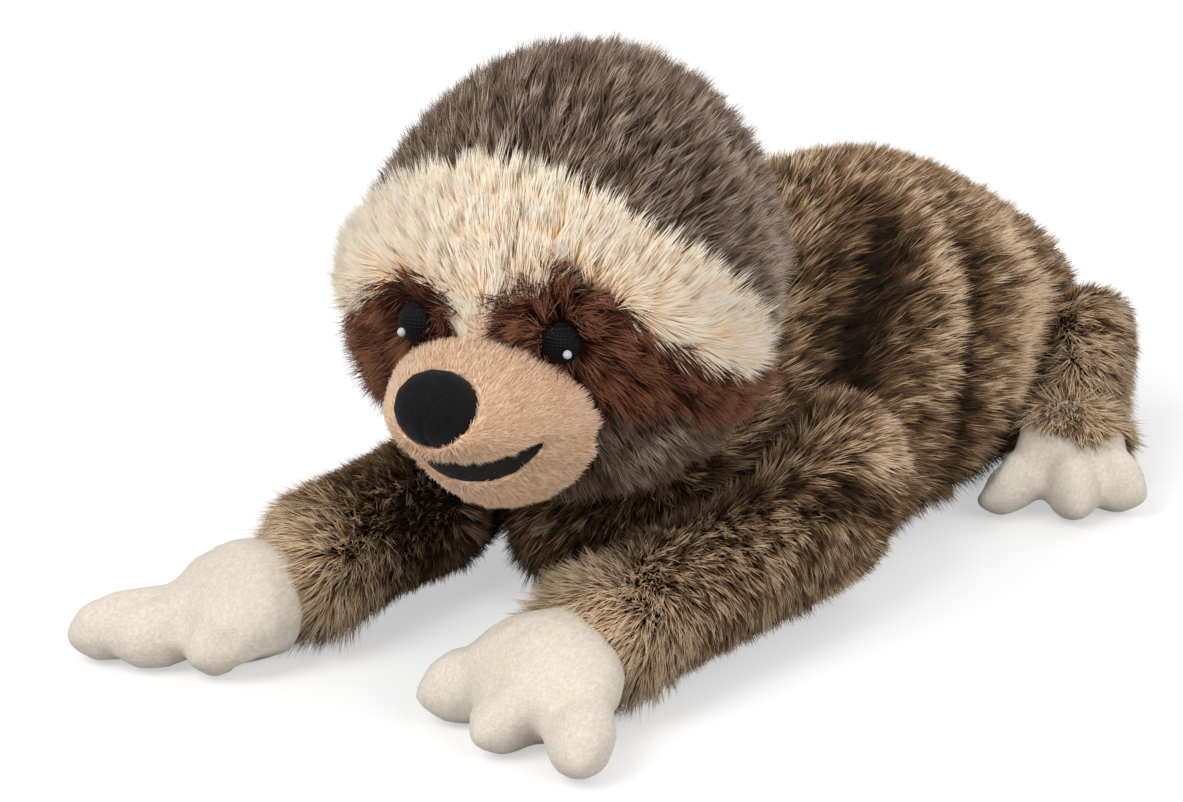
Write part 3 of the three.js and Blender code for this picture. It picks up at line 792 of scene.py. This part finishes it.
def clear_of(form, other, distance):
    """1 where a point lies further from the other form than the distance, and outside it."""
    gap, height = gaps_to(form, other)
    return ((gap > distance) & (height > 0)).astype(float)


# %% [markdown]
# The toy's cloth is loose over its filling, so it falls into folds: a deep one behind each
# shoulder, a long one down each flank, and one round the top of each arm. A fold is a line in
# space. What lies near it is pressed in along its normal, and its pile is painted darker, as
# painted shade, because little light reaches it. Beside some folds the cloth stands up in a
# ridge: a fold of negative depth, with paler pile, a painted highlight where light catches it.
# Each fold has a line, a width, a depth and a share of painted shade. All lengths in this cell
# are in millimetres.

# %% Folds in the cloth
MILLIMETRE = 0.001
# How strongly the painted shade of the folds darkens the pile.
FOLD_PAINTED_SHADING = 0.95


def nearness(form, line, width):
    """1 on the line, falling to nothing over the width; the line is given in millimetres."""
    points = points_of(form.data)
    corners = [np.array(corner) * MILLIMETRE for corner in line]
    gap = np.full(len(points), 1e9)
    for start, end in zip(corners, corners[1:]):
        span = end - start
        share = np.clip((points - start) @ span / (span @ span), 0, 1)
        gap = np.minimum(gap, np.linalg.norm(points - start - share[:, None] * span, axis=1))
    return np.exp(-((gap / (width * MILLIMETRE)) ** 2))


def fold(form, line, width, depth):
    near = nearness(form, line, width)
    moved = points_of(form.data) - depth * MILLIMETRE * near[:, None] * normals_of(form.data)
    set_points(form.data, moved)
    return near


def mirrored(line):
    return [(-x, y, z) for x, y, z in line]


SHOULDER_HOLLOW = [(31, 43, 88), (36, 29, 80), (41, 15, 70), (44, 5, 61)]
SHOULDER_RIDGE = [(27, 57, 91), (38, 53, 81), (45, 52, 69), (49, 49, 59), (51, 41, 50)]
FLANK_FOLD = [(39, 74, 74), (46, 65, 63), (51, 54, 52), (52, 49, 39), (53, 48, 24), (49, 41, 11)]
FLANK_RIDGE = [(36, 98, 70), (43, 100, 55), (47, 87, 45), (49, 79, 30), (48, 76, 15)]
ARM_CREASE = [(49, -52, 49), (59, -43, 47), (66, -31, 43), (70, -21, 37), (69, -7, 23)]
ARM_RIDGE = [(39, -28, 56), (54, -27, 56), (65, -19, 50), (70, -8, 39)]

# The last column is painted shade in a fold and, below zero, a painted highlight on a ridge.
TORSO_FOLDS = [
    (SHOULDER_HOLLOW, 11, 8, 1.0),
    (SHOULDER_RIDGE, 7, -4, -0.8),
    (FLANK_FOLD, 6, 6, 0.95),
    (FLANK_RIDGE, 9, -3, -0.75),
]
ARM_FOLDS = [(ARM_CREASE, 6, 4.5, 1.0), (ARM_RIDGE, 6, -1.5, -0.6)]

torso_fold_shading = np.zeros(len(forms["torso"].data.vertices))
arm_fold_shading = {}
for side, turn_side in (("left", list), ("right", mirrored)):
    for line, width, depth, painted_shading in TORSO_FOLDS:
        torso_fold_shading += painted_shading * fold(forms["torso"], turn_side(line), width, depth)
    arm = forms[f"arm_{side}"]
    arm_fold_shading[side] = np.zeros(len(arm.data.vertices))
    for line, width, depth, painted_shading in ARM_FOLDS:
        arm_fold_shading[side] += painted_shading * fold(arm, turn_side(line), width, depth)
print("share of the torso that lies in a fold:", round(float((torso_fold_shading > 0.4).mean()), 3))

# %% [markdown]
# The torso's pile is brushed from the head to the rump, and straight down on the chest and near
# the floor, where it is longer. It is a mottled golden brown, painted darker towards the belly as
# shade under the toy. Four panels share it out, so that none of them has too many triangles.

# %% Torso fur
TORSO_TONE = 0.34
BELLY_PAINTED_SHADE = 0.1
LONGER_NEAR_FLOOR = 0.5
TORSO_BARE_BELOW = 0.002
FRONT_END = 0.008
RUMP_START = 0.1

torso = forms["torso"]
torso_side, torso_along, torso_height = points_of(torso.data).T
torso_open = outside(torso, [forms[key] for key in forms if key != "torso"])
# Lower down the pile is painted darker: painted shade under the toy.
torso_tone = TORSO_TONE + BELLY_PAINTED_SHADE * soft_step(torso_height, 0.02, 0.085)
# Painted shade darkens the folds, and a painted highlight lightens the ridges.
torso_tone -= FOLD_PAINTED_SHADING * torso_fold_shading
chest = soft_step(-torso_along, 0.02, 0.06)
near_floor = 1 - soft_step(torso_height, 0.006, 0.03)
torso_longer = 1 + LONGER_NEAR_FLOOR * near_floor
downward = np.maximum(chest, 0.6 * near_floor)[:, None]
torso_flow = along_surface(torso, (1 - downward) * (0, 1, -0.1) + downward * (0, 0.1, -1))
middle = (torso_along >= FRONT_END) & (torso_along < RUMP_START)
torso_parts = {
    "front": torso_along < FRONT_END,
    "left": middle & (torso_side >= 0),
    "right": middle & (torso_side < 0),
    "rump": torso_along >= RUMP_START,
}
for part, where in torso_parts.items():
    share = where * torso_open * (torso_height > TORSO_BARE_BELOW)
    grow(
        f"torso_fur_{part}", "torso", torso, golden_fur, "fur", share, torso_flow, torso_tone,
        torso_longer,
    )

# %% [markdown]
# On the head a place is named by two angles from the middle of the face: round to the toy's
# left, and up. They make it easy to lay out the brow, the patches and the parting of the pile.

# %% Angles on the head
HEAD_CENTRE = np.array((0, -0.06277, 0.09869))
HEAD_AHEAD = np.array((0.26724, -0.96363, 0))
HEAD_LEFT = np.array((0.96363, 0.26724, 0))
UP = np.array((0, 0, 1.0))


def angles_of(points):
    """The angle round to the left and the angle up of places given from the head's centre."""
    round_to_left = np.arctan2(points @ HEAD_LEFT, points @ HEAD_AHEAD)
    rise = np.arcsin(points[..., 2] / np.linalg.norm(points, axis=-1))
    return np.degrees(round_to_left), np.degrees(rise)


head = forms["head"]
head_points = points_of(head.data) - HEAD_CENTRE
head_round, head_rise = angles_of(head_points)
head_out = unit(head_points)
to_left = unit(np.cross(UP, head_out))
to_top = unit(np.cross(head_out, to_left))


def depth_in(outline, across, up):
    """How far inside an outline each pair of angles lies; below zero is outside."""
    corners = np.array(outline, float)
    nearest = np.full(len(across), 1e9)
    crossings = np.zeros(len(across), int)
    for (ax, ay), (bx, by) in zip(corners, np.roll(corners, -1, axis=0)):
        span = (bx - ax) ** 2 + (by - ay) ** 2
        share = np.clip(((across - ax) * (bx - ax) + (up - ay) * (by - ay)) / span, 0, 1)
        gap = np.hypot(across - ax - share * (bx - ax), up - ay - share * (by - ay))
        nearest = np.minimum(nearest, gap)
        spans = (ay > up) != (by > up)
        rise = np.where(by == ay, 1e-9, by - ay)
        crossings += spans & (across < ax + (up - ay) * (bx - ax) / rise)
    return np.where(crossings % 2 == 1, nearest, -nearest)


# %% [markdown]
# The brow is one broad band of cream pile that runs from temple to temple and comes down
# between the eyes. A chocolate patch lies under each end of it. The outlines are written in
# degrees, as they show on the toy.

# %% Outlines on the face
BROW_UPPER = [
    (-80, -12), (-74, 0), (-63, 12), (-46, 29), (-35, 35), (-10, 42), (8, 39), (31, 35),
    (43, 26), (55, 18), (63, 10), (74, 1), (82, -10),
]
BROW_LOWER = [
    (76, -19), (66, -16), (51, -8), (39, 0), (27, 11), (18, 17), (11, 11), (5, 7), (3, -14),
    (-11, -14), (-10, 3), (-14, 9), (-25, 8), (-42, 0), (-55, -10), (-68, -18),
]
PATCH_LEFT = [
    (3, 1), (5, 9), (10, 13), (16, 18), (22, 13), (32, 8), (42, 0), (58, -10), (82, -20),
    (93, -24), (95, -29), (80, -31), (62, -28), (46, -23), (32, -21), (22, -14), (12, -6),
]
PATCH_RIGHT = [
    (-10, 1), (-11, 7), (-15, 10), (-33, 7), (-46, -1), (-60, -11), (-82, -20), (-93, -24),
    (-95, -29), (-80, -31), (-62, -30), (-44, -28), (-28, -20), (-16, -10),
]
brow_depth = depth_in(BROW_UPPER + BROW_LOWER, head_round, head_rise)
left_depth = depth_in(PATCH_LEFT, head_round, head_rise)
right_depth = depth_in(PATCH_RIGHT, head_round, head_rise)

BROW_RAISE = 0.003
PATCH_RAISE = 0.001
raised = BROW_RAISE * soft_step(brow_depth, -3, 5)
raised += PATCH_RAISE * soft_step(np.maximum(left_depth, right_depth), -2, 3)
set_points(head.data, head_points + HEAD_CENTRE + head_out * raised[:, None])

for polygon in head.data.polygons:
    corners = list(polygon.vertices)
    if brow_depth[corners].mean() > 0:
        polygon.material_index = 1
    elif max(left_depth[corners].mean(), right_depth[corners].mean()) > 0:
        polygon.material_index = 2
for backing in (fur_backing, cream_backing, chocolate_backing):
    head.data.materials.append(backing)

# %% [markdown]
# The crown's pile is a greyer brown than the body's. It is brushed up and back from the brow,
# over the crown and down the nape, and the cheeks are brushed back and down. The lower half of
# the head is painted darker, as painted shade. A seam runs round the back of each cheek, where
# the pile is shorter and lighter, and some pale hairs stand in the left jowl beside the muzzle.

# %% Crown, cheek and throat fur
CROWN_TONE = 0.42
CHEEK_PAINTED_SHADE = 0.2
NAPE_DEPTH = 0.014
SEAM_ROUND = 100
SEAM_WIDTH = 11
SEAM_LIGHTER = 0.3
SEAM_SHORTER = 0.35
JOWL_ROUND = 44
JOWL_WIDTH = 9
JOWL_LIGHTER = 0.35
CHEEK_TOP = -12

behind = soft_step(head_points @ -HEAD_AHEAD, 0.01, 0.055)
crown_rise = np.where(head_rise > 0, 0.5, -0.55) * (1 - behind) - 0.8 * behind
crown_flow = along_surface(head, -HEAD_AHEAD[None, :] + crown_rise[:, None] * UP[None, :])
face_depth = np.maximum(brow_depth, np.maximum(left_depth, right_depth))
crown_cover = (face_depth < 1) * outside(head, [torso], NAPE_DEPTH)
seam = np.exp(-(((np.abs(head_round) - SEAM_ROUND) / SEAM_WIDTH) ** 2))
seam *= soft_step(head_rise, -45, -25) * (1 - soft_step(head_rise, 35, 60))
# The lower half of the head is painted darker: painted shade under the head.
crown_tone = CROWN_TONE - CHEEK_PAINTED_SHADE * soft_step(-head_rise, 0, 35) + SEAM_LIGHTER * seam
jowl = np.exp(-(((head_round - JOWL_ROUND) / JOWL_WIDTH) ** 2)) * soft_step(-head_rise, 24, 32)
crown_tone += JOWL_LIGHTER * jowl
crown_longer = 1 - SEAM_SHORTER * seam
crown_parts = {
    "crown_fur_left": (head_round >= 0) & (head_rise > CHEEK_TOP),
    "crown_fur_right": (head_round < 0) & (head_rise > CHEEK_TOP),
    "cheek_fur": head_rise <= CHEEK_TOP,
}
for part, where in crown_parts.items():
    grow(
        part, "head", head, grey_fur, "fur", crown_cover * where, crown_flow, crown_tone,
        crown_longer, length=0.0068, lean=1.0, seed=11, tufts_per_metre=560, spots_per_metre=230,
        under_density=2_950_000, under_width=0.00046, over_width=0.0004, spot_contrast=1.3,
        tuft_turn=1.2,
    )

# %% [markdown]
# The brow's pile is long and dense. In the middle it stands up and back, and between the eyes it
# is short. Towards the temples it parts: above the parting it sweeps up and out, and below it a
# row of tufts hangs down over the patch.

# %% Brow
BROW_TONE = 0.62
BROW_SPLIT = 5
PARTING = [(0, -30), (26, -20), (36, 10), (42, 6), (55, -3), (70, -11), (85, -17)]
BLAZE_SHORTER = 0.5

parting_round, parting_rise = zip(*PARTING)
above = head_rise - np.interp(np.abs(head_round), parting_round, parting_rise)
upward = np.clip(above / 5, -1, 1)
sideways = np.clip(head_round / 55, -1, 1)
sideways *= 1.1 - 0.3 * np.abs(upward)
brow_flow = unit(to_top * upward[:, None] + to_left * sideways[:, None])
edge_room = 3.5 * soft_step(np.abs(head_round), 14, 24)
brow_cover = soft_step(brow_depth - edge_room, -0.5, 1.0)
brow_longer = 1 - 0.25 * soft_step(-above, 0, 8)
blaze = (1 - soft_step(head_rise, 5, 15)) * (1 - soft_step(np.abs(head_round + 3), 10, 16))
brow_longer -= BLAZE_SHORTER * blaze
brow_parts = {"brow_left": head_round >= BROW_SPLIT, "brow_right": head_round < BROW_SPLIT}
for part, where in brow_parts.items():
    grow(
        part, "head", head, cream_pile, "cream_pile", brow_cover * where, brow_flow,
        BROW_TONE, brow_longer,
        stands_for=["brow_band"] if part == "brow_left" else [],
        length=0.0086, bend=0.25, tufts_per_metre=320, seed=21, stretch=1.0,
        under_density=8_000_000, over_density=400_000, spots_per_metre=150, spot_contrast=1.0,
        under_width=0.00052, over_width=0.00045, loose_turn=0.14, tuft_turn=0.7, tuft_pull=0.35,
    )

# %% [markdown]
# The patches have shorter pile of a reddish chocolate brown. Round each eye it radiates, so that
# tufts stand up into the brow at the inner corner. Further out it runs outwards and down. On the
# toy's right the inner tufts stand upright, and from the camera they half hide the eye.

# %% Eye patches
PATCH_TONE = 0.44

for side, depth in {"left": left_depth, "right": right_depth}.items():
    eye_round, eye_rise = angles_of(middle_of(f"eye_{side}") - HEAD_CENTRE)
    around = (head_round - eye_round)[:, None]
    over = (head_rise - eye_rise)[:, None]
    inner = (1 - soft_step(np.abs(head_round), 24, 36))[:, None]
    ray_flow = unit(to_left * around + to_top * over)
    far_flow = unit(to_left * SIDES[side] - 0.75 * to_top)
    patch_flow = inner * ray_flow + (1 - inner) * far_flow
    patch_longer = 1 + 0.3 * inner
    if side == "right":
        patch_longer = patch_longer - 0.3 * soft_step(over, 3, 8)
        nasal = soft_step(around, -2, 3)
        patch_flow = (1 - nasal) * patch_flow - 0.15 * nasal * to_left
        patch_longer -= 0.25 * nasal
    grow(
        f"eye_patch_pile_{side}", "head", head, chocolate_pile, "chocolate_pile",
        soft_step(depth, 0, 1.5), patch_flow, PATCH_TONE, patch_longer[:, 0],
        stands_for=[f"eye_patch_{side}"], length=0.0078, lean=1.1, bend=0.3, stretch=1.0,
        tufts_per_metre=300, seed=31, under_density=6_500_000, over_density=400_000,
        spots_per_metre=150, spot_contrast=1.8, tuft_contrast=0.9, hair_contrast=0.9,
        tuft_turn=1.8, loose_turn=0.4,
    )
    print(f"{side} eye: {eye_round:.0f} degrees round, {eye_rise:.0f} up")

# %% [markdown]
# The left arm is brushed outward and down, and the right one towards the hand. The right arm's
# pile is painted darker than the left's, as painted shade. The round of each shoulder, behind a
# slanting parting, is brushed back like the torso. The legs' pile runs away from the hip. At the
# cuff the hair turns towards the hand or the foot, and gets longer and lighter, so that it frays
# over the paw.

# %% Arm and leg fur
CUFF_NEAR = 0.015
CUFF_FAR = 0.036
LIMB_DEPTH = 0.009
LIMB_BARE_BELOW = 0.0012
PARTING_PLACE = -0.1255
PARTING_SLANT = 1.5
# The right arm's lower tone is painted shade.
ARM_TONE_AND_SHADE = {"left": 0.54, "right": 0.32}
ARM_SWEEP = {"left": (0.6, 0, -0.55), "right": (0, 0, 0.1)}
ARM_FOLLOWS_AXIS = {"left": 0.4, "right": 1}
LEG_TONE = 0.68
CUFF_LIGHTER = {"arm": 0.6, "leg": 0.3}
CUFF_LONGER = {"arm": 0.95, "leg": 1.4}
LEG_SOURCE = (0.02, 0.0, 0.03)

for side, outward in SIDES.items():
    for limb, (end, *_) in LIMBS.items():
        form = forms[f"{limb}_{side}"]
        points = points_of(form.data)
        root = np.array(pivot[f"{limb}_{side}"])
        tip = np.array(pivot[f"{end}_{side}"])
        axis = (tip - root) / np.linalg.norm(tip - root)
        to_end = middle_of(f"{end}_{side}") - points
        cuff = 1 - soft_step(np.linalg.norm(points - tip, axis=1), CUFF_NEAR, CUFF_FAR)
        turned = cuff[:, None]
        if limb == "arm":
            behind = points[:, 1] - PARTING_PLACE - PARTING_SLANT * np.abs(points[:, 0])
            upper = soft_step(behind, 0, 0.012)[:, None]
            forearm = ARM_FOLLOWS_AXIS[side] * axis * (1, 1, 0) + ARM_SWEEP[side]
            brushed = (1 - upper) * forearm + upper * (0, 0.8, -0.6)
            # Painted shade in the arm's crease, and a painted highlight on its ridge.
            tone = ARM_TONE_AND_SHADE[side] + CUFF_LIGHTER[limb] * cuff - FOLD_PAINTED_SHADING * arm_fold_shading[side]
        else:
            source = root + np.array(LEG_SOURCE) * (-outward, 1, 1)
            brushed = unit(points - source)
            tone = LEG_TONE + CUFF_LIGHTER[limb] * cuff
        flow = along_surface(form, (1 - turned) * brushed + turned * unit(to_end))
        share = outside(form, [torso], LIMB_DEPTH) * (points[:, 2] > LIMB_BARE_BELOW)
        grow(
            f"{limb}_fur_{side}", f"{limb}_{side}", form, golden_fur, "fur", share, flow,
            tone, 0.9 + CUFF_LONGER[limb] * cuff, seed=41, length=0.0058, lean=1.1,
            tufts_per_metre=600, tuft_turn=0.6, under_width=0.00046, under_density=2_800_000,
            spot_contrast=1.4,
        )

# %% [markdown]
# Each backing moves with its body and stands for that body's skin and filling. The neck has no
# pile: it is a plain form of backing that fills the seam between the head and the torso.


def soft_piece(name, nodes, body, material, voxel, smoothing, inset=0.0, swell=0.0):
    """A stuffed piece that shows its own cloth and has no pile on it."""
    piece = stuffed(name, nodes, voxel, smoothing, inset, swell=swell)
    piece.data.materials.append(material)
    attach(piece, body)
    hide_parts(*nodes)
    return piece


for key, form in forms.items():
    if key != "head":
        form.data.materials.append(fur_backing)
    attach(form, key)
    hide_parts(f"{key}_skin", f"{key}_filling")
soft_piece("neck_backing", ["neck_filling"], "neck", fur_backing, 0.004, 4, inset=0.002)

# %% [markdown]
# The muzzle, the chin, the hands and the feet are sewn from short plush that is shaved almost
# flat. Its nap shows as fine short strokes. A noise that is stretched along one direction makes
# the strokes, for the colour and for the bump alike.

# %% Short plush
def plush(name, dark, middle, light, stretch):
    material, tree, shader = new_material(name, 0.8, sheen=0.2)
    place = node(tree, "ShaderNodeTexCoord").outputs["Object"]
    stretched = node(tree, "ShaderNodeMapping", {"Vector": place, "Scale": stretch}).outputs[0]
    strokes = noise(tree, stretched, 1300.0, 3.0, 0.6)
    mixed = maths(tree, "MULTIPLY_ADD", noise(tree, place, 55.0, 2.0), 0.35, strokes)
    stops = [(0.45, dark), (0.66, middle), (0.85, light)]
    pattern(tree, shader, mixed, stops, strokes, 0.4, 0.0003)
    return material


tan_plush = plush(
    "tan_plush",
    (206, 166, 134), (232, 198, 168), (248, 220, 194), (1, 0.35, 1),
)
cream_plush = plush(
    "cream_plush",
    (200, 188, 172), (210, 199, 184), (220, 211, 198), (1, 0.4, 1),
)

# %% [markdown]
# The muzzle and the chin are one stuffed form, and each hand and foot is a form of its own with
# three round digits.

# %% Muzzle, hands and feet
muzzle = soft_piece(
    "muzzle_plush", ["muzzle_skin", "muzzle_filling", "chin_skin"],
    "head", tan_plush, 0.0012, 3,
)
paws = {}
for side in SIDES:
    for part in ("hand", "foot"):
        paw = f"{part}_{side}"
        paws[paw] = soft_piece(
            f"{paw}_plush", [paw], paw, cream_plush, 0.0014, 3, swell=PAW_SWELL
        )

# %% [markdown]
# The fur of the leg comes down over the top of the foot. This short fringe sits on the foot and
# bends with it.

# %% Fringe over the feet
FRINGE_REACH = 0.011
FRINGE_HEIGHT = 0.015
FRINGE_DEPTH = 0.002
FRINGE_TONE = LEG_TONE + 0.2

for side in SIDES:
    foot = paws[f"foot_{side}"]
    leg = forms[f"leg_{side}"]
    ahead = middle_of(f"foot_{side}") - np.array(pivot[f"foot_{side}"])
    near_leg = (1 - clear_of(foot, leg, FRINGE_REACH)) * outside(foot, [leg, torso], FRINGE_DEPTH)
    near_leg *= points_of(foot.data)[:, 2] > FRINGE_HEIGHT
    grow(
        f"foot_fringe_{side}", f"foot_{side}", foot, golden_fur, "fur", near_leg,
        along_surface(foot, ahead - 0.5 * UP), FRINGE_TONE, seed=61, length=0.0066, lean=1.2,
        tufts_per_metre=600, under_density=2_900_000, spot_contrast=1.4,
    )

# %% [markdown]
# On the muzzle the nap is long enough to see. It gets real hairs too, about two millimetres
# long, which run back from the nose.

# %% Nap on the muzzle
NAP_TONE = 0.5
NAP_CLEARANCE = 0.003
tan_nap = pile_material(
    "tan_nap",
    [(0, (196, 150, 116)), (1, (226, 186, 150))],
    [(0, (214, 170, 136)), (0.5, (232, 196, 164)), (1, (252, 226, 200))],
)
nap_flow = along_surface(muzzle, -HEAD_AHEAD)
nap_cover = clear_of(muzzle, head, NAP_CLEARANCE)
grow(
    "muzzle_nap", "head", muzzle, tan_nap, "tan_plush", nap_cover, nap_flow, NAP_TONE,
    length=0.0022, lean=1.7, under_width=0.0003, over_width=0.0003, under_density=5_500_000,
    over_density=0, tuft_turn=0.5, tuft_pull=0.3, tufts_per_metre=600, spots_per_metre=120,
    stretch=1.0, spot_contrast=0.5, tuft_contrast=0.3, hair_contrast=0.9, seed=51,
)

# %% [markdown]
# The nose is a pad of black velour with a shallow groove down its front, the mouth a crescent
# of black felt, and each eye a small stuffed disc of black cloth with a stitched white dot.

# %% Nose, mouth and eyes
NOSE_REACH = 0.0095
GROOVE_DROP = 0.007
GROOVE_BACK = 0.003


def dark_cloth(name, dark, light, scale, height):
    material, tree, shader = new_material(name, 0.85, sheen=0.04, specular=0.15)
    place = node(tree, "ShaderNodeTexCoord").outputs["Object"]
    fibres = noise(tree, place, scale, 4.0, 0.65)
    pattern(tree, shader, fibres, [(0.35, dark), (0.7, light)], fibres, 0.5, height)
    return material


black_velour = dark_cloth("black_velour", (5, 4, 4), (22, 20, 21), 1400, 0.0004)
black_felt = dark_cloth("black_felt", (3, 3, 3), (14, 12, 11), 900, 0.0004)
black_cloth = knitted(
    "black_woven", (2, 2, 3), (17, 17, 19), 380, relief=0.0006, roughness=0.5, specular=0.12
)
white_thread = dark_cloth("white_thread", (160, 160, 170), (210, 210, 218), 1600, 0.0003)
nose = soft_piece("nose_pad", ["nose"], "head", black_velour, 0.0006, 6)
groove_top = middle_of("nose") + NOSE_REACH * HEAD_AHEAD
groove_foot = groove_top - GROOVE_DROP * UP - GROOVE_BACK * HEAD_AHEAD
fold(nose, [groove_top / MILLIMETRE, groove_foot / MILLIMETRE], 0.9, 0.7)
soft_piece("mouth_felt", ["mouth"], "head", black_felt, 0.0009, 2)
for side in SIDES:
    soft_piece(f"eye_{side}_pad", [f"eye_{side}"], "head", black_cloth, 0.0008, 4)
    soft_piece(
        f"eye_{side}_dot", [f"eye_glint_{side}"], "head", white_thread, 0.0003, 2
    )
